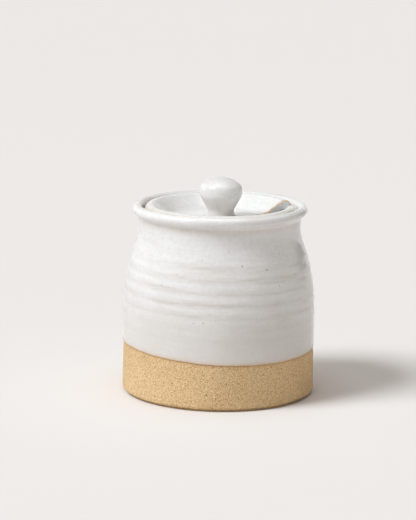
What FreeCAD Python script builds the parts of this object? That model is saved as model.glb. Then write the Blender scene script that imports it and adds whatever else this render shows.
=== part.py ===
"""Wheel-thrown stoneware honey pot with a sunk, notched lid.

Two pieces: the hollow pot, with a gallery inside its rim, and the lid that rests on
the gallery, with a mushroom knob and a notch for the stick of a honey dipper.
Millimetres and degrees. The origin is the centre of the pot's underside and +Z is up.
"""
import FreeCAD, Part
import math
import os

import Sketcher

# Driving dimensions, each written to a cell of the sheet under its own name.
SIZES = {
    # Outside of the pot
    "belly_radius": 51.9,
    "foot_flare": 0.15,
    "foot_bevel": 1.5,
    "band_height": 26.0,
    "glaze_step": 0.3,
    "glaze_edge_rise": 0.5,
    "rim_height": 102.2,
    "shoulder_radius": 92.0,
    "neck_inset": 8.15,
    "neck_curve_radius": 27.0,
    "neck_drop": 11.2,
    "rim_overhang": 3.3,
    "rim_roll_radius": 2.7,
    "under_rim_radius": 3.0,
    # Throwing rings left by the fingers
    "ring_count": 6,
    "ring_depth": 0.25,
    "ring_lower_margin": 14.6,
    "ring_upper_margin": 1.9,
    # Inside of the pot
    "wall": 5.0,
    "floor_thickness": 6.5,
    "floor_corner_radius": 8.0,
    "gallery_width": 4.0,
    "gallery_corner_radius": 0.2,
    "gallery_lip_radius": 0.8,
    "seat_depth": 5.5,
    # Lid
    "lid_clearance": 0.6,
    "plug_clearance": 1.5,
    "lid_shift": 0.35,
    "lid_wall": 4.5,
    "crest_radius": 3.2,
    "crest_height": 5.5,
    "dish_depth": 7.4,
    "dish_slope": 38.0,
    "dish_corner_radius": 6.0,
    "under_corner_radius": 10.5,
    # Knob of the lid
    "knob_height": 22.2,
    "knob_radius": 11.5,
    "knob_edge_radius": 4.5,
    "knob_side": 2.0,
    "knob_rise": 7.0,
    "knob_neck_radius": 7.1,
    "knob_foot_radius": 3.5,
    # Notch of the lid
    "notch_width": 16.0,
    "notch_depth": 23.0,
    "notch_azimuth": 10.0,
    "notch_edge_radius": 0.8,
}

# Sizes that follow from the driving ones. A later entry may use an earlier one.
FITS = {
    "foot_radius": "Sizes.belly_radius + Sizes.foot_flare",
    "band_top_radius": "Sizes.belly_radius - Sizes.glaze_step",
    "glaze_edge_top": "Sizes.band_height + Sizes.glaze_edge_rise",
    "neck_height": "Sizes.rim_height - Sizes.neck_drop",
    "neck_radius": "Sizes.belly_radius - Sizes.neck_inset",
    "neck_centre_x": "Fits.neck_radius + Sizes.neck_curve_radius",
    "curve_reach": "Sizes.shoulder_radius + Sizes.neck_curve_radius",
    "shoulder_centre_x": "Sizes.belly_radius - Sizes.shoulder_radius",
    "shoulder_rise": "sqrt(2 * Fits.curve_reach * Sizes.neck_inset - Sizes.neck_inset ^ 2)",
    "shoulder_start": "Fits.neck_height - Fits.shoulder_rise",
    "shoulder_end": "Fits.shoulder_start + Sizes.shoulder_radius * Fits.shoulder_rise / Fits.curve_reach",
    "rim_centre_x": "Fits.neck_radius + Sizes.rim_overhang - Sizes.rim_roll_radius",
    "rim_centre_z": "Sizes.rim_height - Sizes.rim_roll_radius",
    "ring_start": "Fits.glaze_edge_top + Sizes.ring_lower_margin",
    "ring_span": "Fits.shoulder_end - Sizes.ring_upper_margin - Fits.ring_start",
    "ring_pitch": "Fits.ring_span / Sizes.ring_count",
    "ring_curve_radius": "Fits.ring_pitch ^ 2 / (8 * Sizes.ring_depth) + Sizes.ring_depth / 2",
    "mouth_radius": "Fits.rim_centre_x - Sizes.rim_roll_radius",
    "throat_radius": "Fits.mouth_radius - Sizes.gallery_width",
    "seat_height": "Sizes.rim_height - Sizes.seat_depth",
    "inner_radius": "Sizes.belly_radius - Sizes.wall",
    "inner_shoulder_radius": "Sizes.shoulder_radius - Sizes.wall",
    "lid_radius": "Fits.mouth_radius - Sizes.lid_clearance",
    "crest_centre_x": "Fits.lid_radius - Sizes.crest_radius",
    "crest_centre_z": "Sizes.crest_height - Sizes.crest_radius",
    "dish_floor": "Sizes.crest_height - Sizes.dish_depth",
    "lid_underside": "Fits.dish_floor - Sizes.lid_wall",
    "plug_radius": "Fits.throat_radius - Sizes.plug_clearance",
    "knob_top": "Fits.dish_floor + Sizes.knob_height",
    "knob_side_top": "Fits.knob_top - Sizes.knob_rise",
    "knob_side_foot": "Fits.knob_side_top - Sizes.knob_side",
    "knob_edge_centre_x": "Sizes.knob_radius - Sizes.knob_edge_radius",
    "knob_foot_centre_x": "Sizes.knob_neck_radius + Sizes.knob_foot_radius",
    "knob_foot_centre_z": "Fits.dish_floor + Sizes.knob_foot_radius",
    "notch_radius": "Sizes.notch_width / 2",
    "notch_centre_x": "Fits.lid_radius - Sizes.notch_depth + Fits.notch_radius",
    "notch_mouth_x": "Fits.lid_radius + Fits.notch_radius",
}


# Points and edges closer than this are taken as the same.
TOUCH = 0.001
# The least volume, in cubic millimetres, that a cutting feature has to remove.
LEAST_CUT = 1.0


def write_sizes(document):
    """Write the driving dimensions to a sheet and bind the fits to it."""
    sheet = document.addObject("Spreadsheet::Sheet", "Sizes")
    for row, (name, number) in enumerate(SIZES.items(), start=1):
        sheet.set(f"A{row}", name)
        sheet.set(f"B{row}", str(number))
        sheet.setAlias(f"B{row}", name)
    document.recompute()
    fits = document.addObject("App::VarSet", "Fits")
    for name, expression in FITS.items():
        fits.addProperty("App::PropertyFloat", name, "Fits")
        fits.setExpression(name, expression)
    document.recompute()
    values = {name: float(getattr(sheet, name)) for name in SIZES}
    values.update({name: float(getattr(fits, name)) for name in FITS})
    return values


def source_of(name):
    """Return the full name of a size, as an expression writes it."""
    owner = "Sizes" if name in SIZES else "Fits"
    return f"{owner}.{name}"


def point(x, y):
    return FreeCAD.Vector(x, y, 0)


def on_circle(centre, radius, degrees):
    turn = math.radians(degrees)
    return centre + radius * point(math.cos(turn), math.sin(turn))


def heading(start, end):
    """Return the direction from one point to another, in degrees from 0 to 360."""
    return math.degrees(math.atan2(end.y - start.y, end.x - start.x)) % 360


def circle_crossing(centre_1, radius_1, centre_2, radius_2, side):
    """Return where two circles cross: side 1 is left of the way from 1 to 2, -1 right."""
    between = centre_2 - centre_1
    along = (radius_1 ** 2 - radius_2 ** 2 + between.Length ** 2) / (2 * between.Length)
    across = math.sqrt(radius_1 ** 2 - along ** 2)
    unit = between / between.Length
    return centre_1 + along * unit + side * across * point(-unit.y, unit.x)


class Outline:
    """A closed outline in a sketch, drawn edge by edge and then fixed by sizes."""

    ORIGIN = (-1, 1)

    def __init__(self, body, name, plane_role, values):
        plane = next(item for item in body.Origin.OriginFeatures if item.Role == plane_role)
        self.sketch = body.newObject("Sketcher::SketchObject", name)
        self.sketch.AttachmentSupport = (plane, "")
        self.sketch.MapMode = "FlatFace"
        self.values = values
        self.edges = []

    def line(self, start, end):
        """Add a line and return it as (index, first point, last point)."""
        index = self.sketch.addGeometry(Part.LineSegment(start, end), False)
        self.edges.append((index, 1, 2))
        return self.edges[-1]

    def arc(self, centre, radius, start, end):
        """Add an arc from start to end, in degrees; it runs clockwise where end is less."""
        first, last = sorted((math.radians(start), math.radians(end)))
        circle = Part.Circle(centre, FreeCAD.Vector(0, 0, 1), radius)
        index = self.sketch.addGeometry(Part.ArcOfCircle(circle, first, last), False)
        self.edges.append((index, 1, 2) if end > start else (index, 2, 1))
        return self.edges[-1]

    def rail(self, edge):
        """Turn an edge into construction geometry that other points can lie on."""
        self.sketch.toggleConstruction(edge[0])
        self.edges.remove(edge)
        return edge

    def add(self, *parts):
        return self.sketch.addConstraint(Sketcher.Constraint(*parts))

    def bind(self, name, *parts):
        """Add a dimension whose value follows the named size."""
        index = self.add(*parts, self.values[name])
        self.sketch.renameConstraint(index, f"c{index}_{name}")
        self.sketch.setExpression(f"Constraints.c{index}_{name}", source_of(name))

    def join(self, first, second, smooth=False):
        """Join the last point of one edge to the first point of the next."""
        self.add("Tangent" if smooth else "Coincident", first[0], first[2], second[0], second[1])

    def close(self, smooth_joints):
        """Join all edges in turn; the pairs in smooth_joints meet tangentially."""
        for first, second in zip(self.edges, self.edges[1:] + self.edges[:1]):
            self.join(first, second, (first, second) in smooth_joints)

    def start_of(self, edge):
        return edge[0], edge[1]

    def end_of(self, edge):
        return edge[0], edge[2]

    def centre_of(self, edge):
        return edge[0], 3

    def across(self, place, name):
        """Set a point's distance from the axis."""
        self.bind(name, "DistanceX", *self.ORIGIN, *place)

    def up(self, place, name):
        """Set a point's height above the origin."""
        self.bind(name, "DistanceY", *self.ORIGIN, *place)

    def radius(self, edge, name):
        self.bind(name, "Radius", edge[0])

    def finish(self):
        """Solve the sketch and make sure that its sizes leave nothing free."""
        if self.sketch.solve() != 0:
            raise RuntimeError(f"{self.sketch.Name} can't be solved")
        self.sketch.Document.recompute()
        if not self.sketch.FullyConstrained:
            raise RuntimeError(f"{self.sketch.Name} isn't fully constrained")
        return self.sketch


def turned(body, kind, name, sketch):
    """Add a Revolution or Groove of a sketch once round its vertical axis."""
    feature = body.newObject(f"PartDesign::{kind}", name)
    feature.Profile = sketch
    feature.ReferenceAxis = (sketch, ["V_Axis"])
    feature.Angle = 360
    body.Document.recompute()
    return feature


def circle_edge(shape, radius, height):
    """Return the name of the circular edge with this radius at this height."""
    for number, edge in enumerate(shape.Edges, start=1):
        curve = edge.Curve
        if not isinstance(curve, Part.Circle):
            continue
        if abs(curve.Radius - radius) < TOUCH and abs(curve.Center.z - height) < TOUCH:
            return f"Edge{number}"
    raise RuntimeError(f"no circular edge of radius {radius} at height {height}")


def dress(body, kind, name, edges, size_property, size_name):
    """Add a Fillet or Chamfer to edges of the body's last feature."""
    base = body.Tip
    feature = body.newObject(f"PartDesign::{kind}", name)
    feature.Base = (base, edges)
    feature.setExpression(size_property, source_of(size_name))
    body.Document.recompute()
    return feature


def check_cut(before, feature):
    """Make sure that a cutting feature took material away."""
    if feature.Shape.Volume > before.Volume - LEAST_CUT:
        raise RuntimeError(f"{feature.Name} cuts nothing")


def draw_pot_outside(body, values):
    """Draw the pot's outer profile: foot, clay band, ringed belly, neck and rolled rim."""
    v = values
    shoulder_centre = point(v["shoulder_centre_x"], v["shoulder_start"])
    neck_centre = point(v["neck_centre_x"], v["neck_height"])
    rim_centre = point(v["rim_centre_x"], v["rim_centre_z"])
    under_centre = circle_crossing(
        rim_centre, v["rim_roll_radius"] + v["under_rim_radius"],
        neck_centre, v["neck_curve_radius"] - v["under_rim_radius"], -1)
    shoulder_turn = heading(shoulder_centre, neck_centre)

    def rail_point(height):
        """Return the point of the smooth, ringless wall at this height."""
        if height <= v["shoulder_start"]:
            return point(v["belly_radius"], height)
        lean = math.asin((height - v["shoulder_start"]) / v["shoulder_radius"])
        return on_circle(shoulder_centre, v["shoulder_radius"], math.degrees(lean))

    outline = Outline(body, "PotOutside", "XZ_Plane", v)
    belly_rail = outline.rail(outline.line(
        point(v["belly_radius"], v["glaze_edge_top"]), point(v["belly_radius"], v["shoulder_start"])))
    shoulder_rail = outline.rail(outline.arc(shoulder_centre, v["shoulder_radius"], 0, shoulder_turn))

    foot_corner = point(v["foot_radius"], 0)
    band_top = point(v["band_top_radius"], v["band_height"])
    step_top = point(v["belly_radius"], v["glaze_edge_top"])
    underside = outline.line(point(0, 0), foot_corner)
    band = outline.line(foot_corner, band_top)
    step = outline.line(band_top, step_top)
    belly = outline.line(step_top, rail_point(v["ring_start"]))

    rings = []
    for number in range(SIZES["ring_count"]):
        lower = rail_point(v["ring_start"] + number * v["ring_pitch"])
        upper = rail_point(v["ring_start"] + (number + 1) * v["ring_pitch"])
        centre = circle_crossing(lower, v["ring_curve_radius"], upper, v["ring_curve_radius"], -1)
        rings.append(outline.arc(
            centre, v["ring_curve_radius"], heading(centre, lower), heading(centre, upper)))

    ring_end_turn = heading(shoulder_centre, rail_point(v["ring_start"] + v["ring_span"]))
    shoulder = outline.arc(shoulder_centre, v["shoulder_radius"], ring_end_turn, shoulder_turn)
    neck = outline.arc(
        neck_centre, v["neck_curve_radius"], shoulder_turn + 180, heading(neck_centre, under_centre))
    under_rim = outline.arc(
        under_centre, v["under_rim_radius"],
        heading(neck_centre, under_centre), heading(under_centre, rim_centre))
    roll = outline.arc(
        rim_centre, v["rim_roll_radius"], heading(rim_centre, under_centre) - 360, 180)
    mouth_plane = outline.line(on_circle(rim_centre, v["rim_roll_radius"], 180), point(0, rim_centre.y))
    axis = outline.line(point(0, rim_centre.y), point(0, 0))

    outline.close([(shoulder, neck), (neck, under_rim), (under_rim, roll)])
    for edge in (belly_rail, belly, axis):
        outline.add("Vertical", edge[0])
    for edge in (underside, mouth_plane):
        outline.add("Horizontal", edge[0])
    outline.add("Coincident", *outline.start_of(underside), *outline.ORIGIN)
    outline.across(outline.end_of(underside), "foot_radius")
    outline.across(outline.start_of(step), "band_top_radius")
    outline.up(outline.start_of(step), "band_height")
    outline.across(outline.end_of(step), "belly_radius")
    outline.up(outline.end_of(step), "glaze_edge_top")
    outline.up(outline.end_of(belly), "ring_start")

    outline.add("Coincident", *outline.start_of(belly_rail), *outline.end_of(step))
    outline.join(belly_rail, shoulder_rail, smooth=True)
    outline.radius(shoulder_rail, "shoulder_radius")
    outline.up(outline.centre_of(shoulder_rail), "shoulder_start")
    outline.add("Coincident", *outline.end_of(shoulder_rail), *outline.end_of(shoulder))
    outline.add("Coincident", *outline.centre_of(shoulder_rail), *outline.centre_of(shoulder))
    fix_rings(outline, rings, belly_rail, shoulder_rail)

    outline.radius(neck, "neck_curve_radius")
    outline.across(outline.centre_of(neck), "neck_centre_x")
    outline.radius(under_rim, "under_rim_radius")
    outline.radius(roll, "rim_roll_radius")
    outline.across(outline.centre_of(roll), "rim_centre_x")
    outline.up(outline.centre_of(roll), "rim_centre_z")
    outline.add("Horizontal", *outline.centre_of(roll), *outline.end_of(roll))
    return outline.finish()


def fix_rings(outline, rings, belly_rail, shoulder_rail):
    """Set each throwing ring's curve, and hold the ridge above it on the smooth wall."""
    values = outline.values
    for number, ring in enumerate(rings, start=1):
        outline.radius(ring, "ring_curve_radius")
        height = values["ring_start"] + number * values["ring_pitch"]
        rail = belly_rail if height <= values["shoulder_start"] else shoulder_rail
        ridge = outline.end_of(ring)
        if number < len(rings):
            outline.add("PointOnObject", *ridge, rail[0])
        index = outline.add("DistanceY", *outline.ORIGIN, *ridge, height)
        outline.sketch.renameConstraint(index, f"ridge_{number}")
        outline.sketch.setExpression(
            f"Constraints.ridge_{number}", f"Fits.ring_start + {number} * Fits.ring_pitch")


def draw_pot_inside(body, values):
    """Draw the hollow that the pot holds honey in, with the gallery for the lid above it."""
    v = values
    corner_centre = point(v["inner_radius"] - v["floor_corner_radius"],
                          v["floor_thickness"] + v["floor_corner_radius"])
    shoulder_centre = point(v["shoulder_centre_x"], v["shoulder_start"])
    to_throat = v["throat_radius"] - v["shoulder_centre_x"]
    spread = v["inner_shoulder_radius"] - to_throat
    throat_curve_radius = (
        to_throat ** 2 + v["shoulder_rise"] ** 2 - v["inner_shoulder_radius"] ** 2) / (2 * spread)
    throat_centre = point(v["throat_radius"] + throat_curve_radius, v["neck_height"])
    turn = heading(shoulder_centre, throat_centre)

    outline = Outline(body, "PotInside", "XZ_Plane", v)
    floor = outline.line(point(0, v["floor_thickness"]), point(corner_centre.x, v["floor_thickness"]))
    corner = outline.arc(corner_centre, v["floor_corner_radius"], -90, 0)
    wall = outline.line(point(v["inner_radius"], corner_centre.y),
                        point(v["inner_radius"], v["shoulder_start"]))
    shoulder = outline.arc(shoulder_centre, v["inner_shoulder_radius"], 0, turn)
    throat_curve = outline.arc(throat_centre, throat_curve_radius, turn + 180, 180)
    throat_top = point(v["throat_radius"], v["seat_height"])
    throat = outline.line(point(v["throat_radius"], v["neck_height"]), throat_top)
    seat_corner = point(v["mouth_radius"], v["seat_height"])
    seat = outline.line(throat_top, seat_corner)
    mouth_top = point(v["mouth_radius"], v["rim_height"])
    mouth = outline.line(seat_corner, mouth_top)
    top = outline.line(mouth_top, point(0, v["rim_height"]))
    axis = outline.line(point(0, v["rim_height"]), point(0, v["floor_thickness"]))

    outline.close([(floor, corner), (corner, wall), (wall, shoulder), (shoulder, throat_curve),
                   (throat_curve, throat)])
    for edge in (wall, throat, mouth, axis):
        outline.add("Vertical", edge[0])
    for edge in (floor, seat, top):
        outline.add("Horizontal", edge[0])
    outline.add("PointOnObject", *outline.start_of(floor), -2)
    outline.up(outline.start_of(floor), "floor_thickness")
    outline.radius(corner, "floor_corner_radius")
    outline.across(outline.end_of(wall), "inner_radius")
    outline.up(outline.centre_of(shoulder), "shoulder_start")
    outline.radius(shoulder, "inner_shoulder_radius")
    outline.up(outline.centre_of(throat_curve), "neck_height")
    outline.across(outline.start_of(throat), "throat_radius")
    outline.up(outline.end_of(throat), "seat_height")
    outline.across(outline.end_of(seat), "mouth_radius")
    outline.up(outline.end_of(mouth), "rim_height")
    return outline.finish()


def make_pot(document, values):
    """Throw the pot: turned outside, hollowed inside, with its small edges softened."""
    body = document.addObject("PartDesign::Body", "Pot")
    body.Label = "pot"
    outside = turned(body, "Revolution", "PotTurned", draw_pot_outside(body, values))
    inside = turned(body, "Groove", "PotHollowed", draw_pot_inside(body, values))
    check_cut(outside.Shape, inside)
    foot = circle_edge(body.Tip.Shape, values["foot_radius"], 0)
    dress(body, "Chamfer", "FootBevel", [foot], "Size", "foot_bevel")
    lip = circle_edge(body.Tip.Shape, values["throat_radius"], values["seat_height"])
    dress(body, "Fillet", "GalleryLip", [lip], "Radius", "gallery_lip_radius")
    corner = circle_edge(body.Tip.Shape, values["mouth_radius"], values["seat_height"])
    dress(body, "Fillet", "GalleryCorner", [corner], "Radius", "gallery_corner_radius")
    return body


def draw_lid_profile(body, values):
    """Draw half of the lid's section: knob, dish, rounded crest, seat and underside."""
    v = values
    edge_top_centre = point(v["knob_edge_centre_x"], v["knob_side_top"])
    edge_foot_centre = point(v["knob_edge_centre_x"], v["knob_side_foot"])
    dome_radius = (
        v["knob_edge_centre_x"] ** 2 + v["knob_rise"] ** 2 - v["knob_edge_radius"] ** 2
    ) / (2 * (v["knob_rise"] - v["knob_edge_radius"]))
    dome_centre = point(0, v["knob_top"] - dome_radius)
    dome_turn = heading(dome_centre, edge_top_centre)
    foot_centre = point(v["knob_foot_centre_x"], v["knob_foot_centre_z"])
    between = foot_centre - edge_foot_centre
    taper = math.degrees(
        math.asin((v["knob_edge_radius"] + v["knob_foot_radius"]) / between.Length)
        - math.atan2(between.x, -between.y))
    crest_centre = point(v["crest_centre_x"], v["crest_centre_z"])
    slope = v["dish_slope"]
    crest_side = on_circle(crest_centre, v["crest_radius"], 90 + slope)
    dish_centre_z = v["dish_floor"] + v["dish_corner_radius"]
    dish_side_z = dish_centre_z - v["dish_corner_radius"] * math.cos(math.radians(slope))
    dish_side_x = crest_side.x - (crest_side.y - dish_side_z) / math.tan(math.radians(slope))
    dish_centre = point(
        dish_side_x - v["dish_corner_radius"] * math.sin(math.radians(slope)), dish_centre_z)
    under_centre_z = v["lid_underside"] + v["under_corner_radius"]
    under_side_z = under_centre_z - v["under_corner_radius"] * math.cos(math.radians(slope))
    under_side = point(v["plug_radius"] + under_side_z / math.tan(math.radians(slope)), under_side_z)
    under_centre = on_circle(under_side, v["under_corner_radius"], 90 + slope)
    seat_inner = point(v["plug_radius"], 0)
    seat_outer = point(crest_centre.x + math.sqrt(v["crest_radius"] ** 2 - crest_centre.y ** 2), 0)

    outline = Outline(body, "LidProfile", "XZ_Plane", v)
    underside = outline.line(point(0, v["lid_underside"]), point(under_centre.x, v["lid_underside"]))
    under_corner = outline.arc(under_centre, v["under_corner_radius"], -90, slope - 90)
    under_slope = outline.line(under_side, seat_inner)
    seat = outline.line(seat_inner, seat_outer)
    crest = outline.arc(crest_centre, v["crest_radius"], heading(crest_centre, seat_outer) - 360, 90 + slope)
    dish_side = on_circle(dish_centre, v["dish_corner_radius"], slope - 90)
    dish_slope = outline.line(crest_side, dish_side)
    dish_corner = outline.arc(dish_centre, v["dish_corner_radius"], slope - 90, -90)
    foot_start = point(foot_centre.x, v["dish_floor"])
    dish_floor = outline.line(point(dish_centre.x, v["dish_floor"]), foot_start)
    knob_foot = outline.arc(foot_centre, v["knob_foot_radius"], 270, 180 - taper)
    taper_foot = on_circle(foot_centre, v["knob_foot_radius"], 180 - taper)
    taper_top = on_circle(edge_foot_centre, v["knob_edge_radius"], -taper)
    knob_taper = outline.line(taper_foot, taper_top)
    edge_foot = outline.arc(edge_foot_centre, v["knob_edge_radius"], -taper, 0)
    side = outline.line(point(v["knob_radius"], v["knob_side_foot"]),
                        point(v["knob_radius"], v["knob_side_top"]))
    edge_top = outline.arc(edge_top_centre, v["knob_edge_radius"], 0, dome_turn)
    dome = outline.arc(dome_centre, dome_radius, dome_turn, 90)
    axis = outline.line(point(0, v["knob_top"]), point(0, v["lid_underside"]))

    outline.close([(underside, under_corner), (under_corner, under_slope), (crest, dish_slope),
                   (dish_slope, dish_corner), (dish_corner, dish_floor), (dish_floor, knob_foot),
                   (knob_foot, knob_taper), (knob_taper, edge_foot), (edge_foot, side),
                   (side, edge_top), (edge_top, dome)])
    for edge in (side, axis):
        outline.add("Vertical", edge[0])
    for edge in (underside, seat, dish_floor):
        outline.add("Horizontal", edge[0])
    outline.add("PointOnObject", *outline.end_of(axis), -2)
    outline.up(outline.start_of(underside), "lid_underside")
    outline.radius(under_corner, "under_corner_radius")
    outline.add("Parallel", under_slope[0], dish_slope[0])
    outline.add("PointOnObject", *outline.start_of(seat), -1)
    outline.across(outline.start_of(seat), "plug_radius")
    outline.radius(crest, "crest_radius")
    outline.across(outline.centre_of(crest), "crest_centre_x")
    outline.up(outline.centre_of(crest), "crest_centre_z")
    index = outline.add("Angle", -1, 1, dish_slope[0], 2, math.radians(slope))
    outline.sketch.renameConstraint(index, "dish_slope_angle")
    outline.sketch.setExpression("Constraints.dish_slope_angle", source_of("dish_slope"))
    outline.radius(dish_corner, "dish_corner_radius")
    outline.up(outline.start_of(dish_floor), "dish_floor")
    outline.radius(knob_foot, "knob_foot_radius")
    outline.across(outline.centre_of(knob_foot), "knob_foot_centre_x")
    outline.radius(edge_foot, "knob_edge_radius")
    outline.across(outline.start_of(side), "knob_radius")
    outline.up(outline.start_of(side), "knob_side_foot")
    outline.up(outline.end_of(side), "knob_side_top")
    outline.radius(edge_top, "knob_edge_radius")
    outline.up(outline.start_of(axis), "knob_top")
    outline.add("PointOnObject", *outline.centre_of(dome), -2)
    return outline.finish()


def draw_notch(body, values):
    """Draw the U-shaped notch in plan, open past the lid's edge on the body's +X side."""
    v = values
    centre = point(v["notch_centre_x"], 0)
    half = point(0, v["notch_radius"])
    far = point(v["notch_mouth_x"], 0)
    outline = Outline(body, "NotchPlan", "XY_Plane", v)
    near_side = outline.line(far + half, centre + half)
    end = outline.arc(centre, v["notch_radius"], 90, 270)
    far_side = outline.line(centre - half, far - half)
    mouth = outline.line(far - half, far + half)
    outline.close([(near_side, end), (end, far_side)])
    outline.add("Vertical", mouth[0])
    for edge in (near_side, far_side):
        outline.add("Horizontal", edge[0])
    outline.add("PointOnObject", *outline.centre_of(end), -1)
    outline.across(outline.centre_of(end), "notch_centre_x")
    outline.radius(end, "notch_radius")
    outline.across(outline.start_of(near_side), "notch_mouth_x")
    return outline.finish()


def notch_edges(shape, values):
    """Return the names of the edges where the notch's sides meet the lid, but for the seat's."""
    names = []
    reach = values["notch_radius"] + TOUCH
    inner_end = values["notch_centre_x"] - reach
    for number, edge in enumerate(shape.Edges, start=1):
        box = edge.BoundBox
        inside = box.YMin > -reach and box.YMax < reach and box.XMin > inner_end
        on_seat = box.ZLength < TOUCH and abs(box.ZMin) < TOUCH
        upright = box.XLength < TOUCH and box.YLength < TOUCH
        if inside and not on_seat and not upright:
            names.append(f"Edge{number}")
    return names


def make_lid(document, values):
    """Make the lid in its own frame, with the seat at height zero, and set it in place."""
    body = document.addObject("PartDesign::Body", "Lid")
    body.Label = "lid"
    lid = turned(body, "Revolution", "LidTurned", draw_lid_profile(body, values))
    notch = body.newObject("PartDesign::Pocket", "Notch")
    notch.Profile = draw_notch(body, values)
    notch.Type = "ThroughAll"
    notch.Midplane = True
    document.recompute()
    check_cut(lid.Shape, notch)
    dress(body, "Fillet", "NotchEdge", notch_edges(notch.Shape, values), "Radius", "notch_edge_radius")
    body.setExpression("Placement.Base.x", source_of("lid_shift"))
    body.setExpression("Placement.Base.z", source_of("seat_height"))
    body.Placement.Rotation = FreeCAD.Rotation(FreeCAD.Vector(0, 0, 1), 1)
    body.setExpression("Placement.Rotation.Angle", source_of("notch_azimuth"))
    document.recompute()
    return body


def check_document(document):
    """Stop if any object failed without saying so."""
    for item in document.Objects:
        if "Invalid" in item.State or "Error" in item.State:
            raise RuntimeError(f"{item.Name} failed: {item.State}")


def export(pieces):
    """Write each piece to parts/ under its label."""
    os.makedirs("parts", exist_ok=True)
    for piece in pieces:
        shape = piece.Shape
        if shape.isNull() or not shape.isValid() or len(shape.Solids) != 1:
            raise RuntimeError(f"{piece.Label} isn't one valid solid")
        shape.exportStep(os.path.join("parts", f"{piece.Label}.step"))
        print(f"{piece.Label}: {shape.Volume / 1000:.2f} cm3")


def main():
    document = FreeCAD.newDocument("HoneyPot")
    values = write_sizes(document)
    pieces = [make_pot(document, values), make_lid(document, values)]
    document.recompute()
    check_document(document)
    export(pieces)


main()
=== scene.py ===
"""A stoneware honey pot with a sunk lid, dressed for a studio picture.

It is run as a script. It loads the packed frame, models the pot's clay, the glaze over it
and the glazed lid, and sets them on a plain pale floor. Sizes are in metres, angles in
radians. Azimuth 0 is the pot's front, -Y, and azimuth grows towards its right side, +X.
"""
import math
import random

import bpy
from mathutils import Euler, Matrix, Vector, noise


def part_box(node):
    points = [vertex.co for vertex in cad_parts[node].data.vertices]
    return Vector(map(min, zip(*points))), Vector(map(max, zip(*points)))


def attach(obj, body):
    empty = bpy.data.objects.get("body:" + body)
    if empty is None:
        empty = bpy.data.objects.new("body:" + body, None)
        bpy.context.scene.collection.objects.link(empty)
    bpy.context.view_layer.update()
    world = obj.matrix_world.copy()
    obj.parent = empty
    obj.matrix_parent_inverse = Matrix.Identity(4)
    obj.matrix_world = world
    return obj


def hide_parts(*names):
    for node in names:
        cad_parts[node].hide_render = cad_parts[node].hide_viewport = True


bl_info = {
    "name": "Stoneware honey pot",
    "version": (1, 0, 0),
    "blender": (4, 5, 0),
    "location": "View3D > Sidebar > Honey pot",
    "description": "Models a glazed honey pot with a sunk lid and sets its stage",
    "category": "Object",
}

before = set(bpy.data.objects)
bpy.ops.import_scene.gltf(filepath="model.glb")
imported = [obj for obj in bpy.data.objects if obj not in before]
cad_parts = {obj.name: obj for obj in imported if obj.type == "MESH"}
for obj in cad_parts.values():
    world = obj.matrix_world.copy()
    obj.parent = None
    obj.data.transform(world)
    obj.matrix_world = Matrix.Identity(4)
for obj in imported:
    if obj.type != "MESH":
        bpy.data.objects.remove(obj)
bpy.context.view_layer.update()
POT_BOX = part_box("pot")

MM = 0.001
TURN = 2 * math.pi
MERGE = 1e-6

# Steps of one turn when a profile is spun.
CLAY_STEPS = 256
GLAZE_STEPS = 288
LID_STEPS = 256

# The larger iron specks. Heights and radii are drawn between two values in millimetres.
SPECK_SEED = 1
SPECK_COUNT = 18
SPECK_HEIGHTS = (34, 80)
SPECK_RADII = (0.35, 0.6)

# The pot's surfaces. Low down, what is further in from the belly than INSIDE is inner face.
INSIDE = 2 * MM
RIM_START = 90 * MM
GALLERY_CORNER = 0.2 * MM
LEAST_RADIUS = 0.05 * MM
BEAD_RADIUS = 0.3 * MM
RIPPLE_REACH = 1.5

# Heights between which the throwing rings fade in, deepen, soften and fade out, and the
# azimuth at which the rings' painted shade is strongest.
RINGS_START = (30 * MM, 42 * MM)
RINGS_DEEPEN = (44 * MM, 56 * MM)
RINGS_SOFTEN = (71 * MM, 78 * MM)
RINGS_END = (78 * MM, 84 * MM)
RINGS_SHADE_SIDE = math.radians(35)

# The room's light by the height of a direction, and the dark gap between its walls.
WALLS_END = 0.2
UPPER_START = 0.42
UPPER_END = 0.9
OVERHEAD_START = 0.96
GAP_EDGE = (0.96, 0.97)
GAP_SHADE = 0.02

# Sockets of the colour mix node.
MIX_FIRST, MIX_SECOND, MIX_RESULT = 6, 7, 2


# ---------------------------------------------------------------- sizes and colours

def length(name, description, default, **extra):
    """Return a size in metres that a user can change."""
    return bpy.props.FloatProperty(
        name=name, description=description, default=default, unit="LENGTH", precision=5, **extra)


def angle(name, description, default):
    """Return an angle that a user can change."""
    return bpy.props.FloatProperty(
        name=name, description=description, default=default, subtype="ANGLE")


def colour(name, description, default):
    """Return a linear colour that a user can change."""
    return bpy.props.FloatVectorProperty(
        name=name, description=description, default=default, size=3, subtype="COLOR",
        min=0, max=1)


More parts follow.
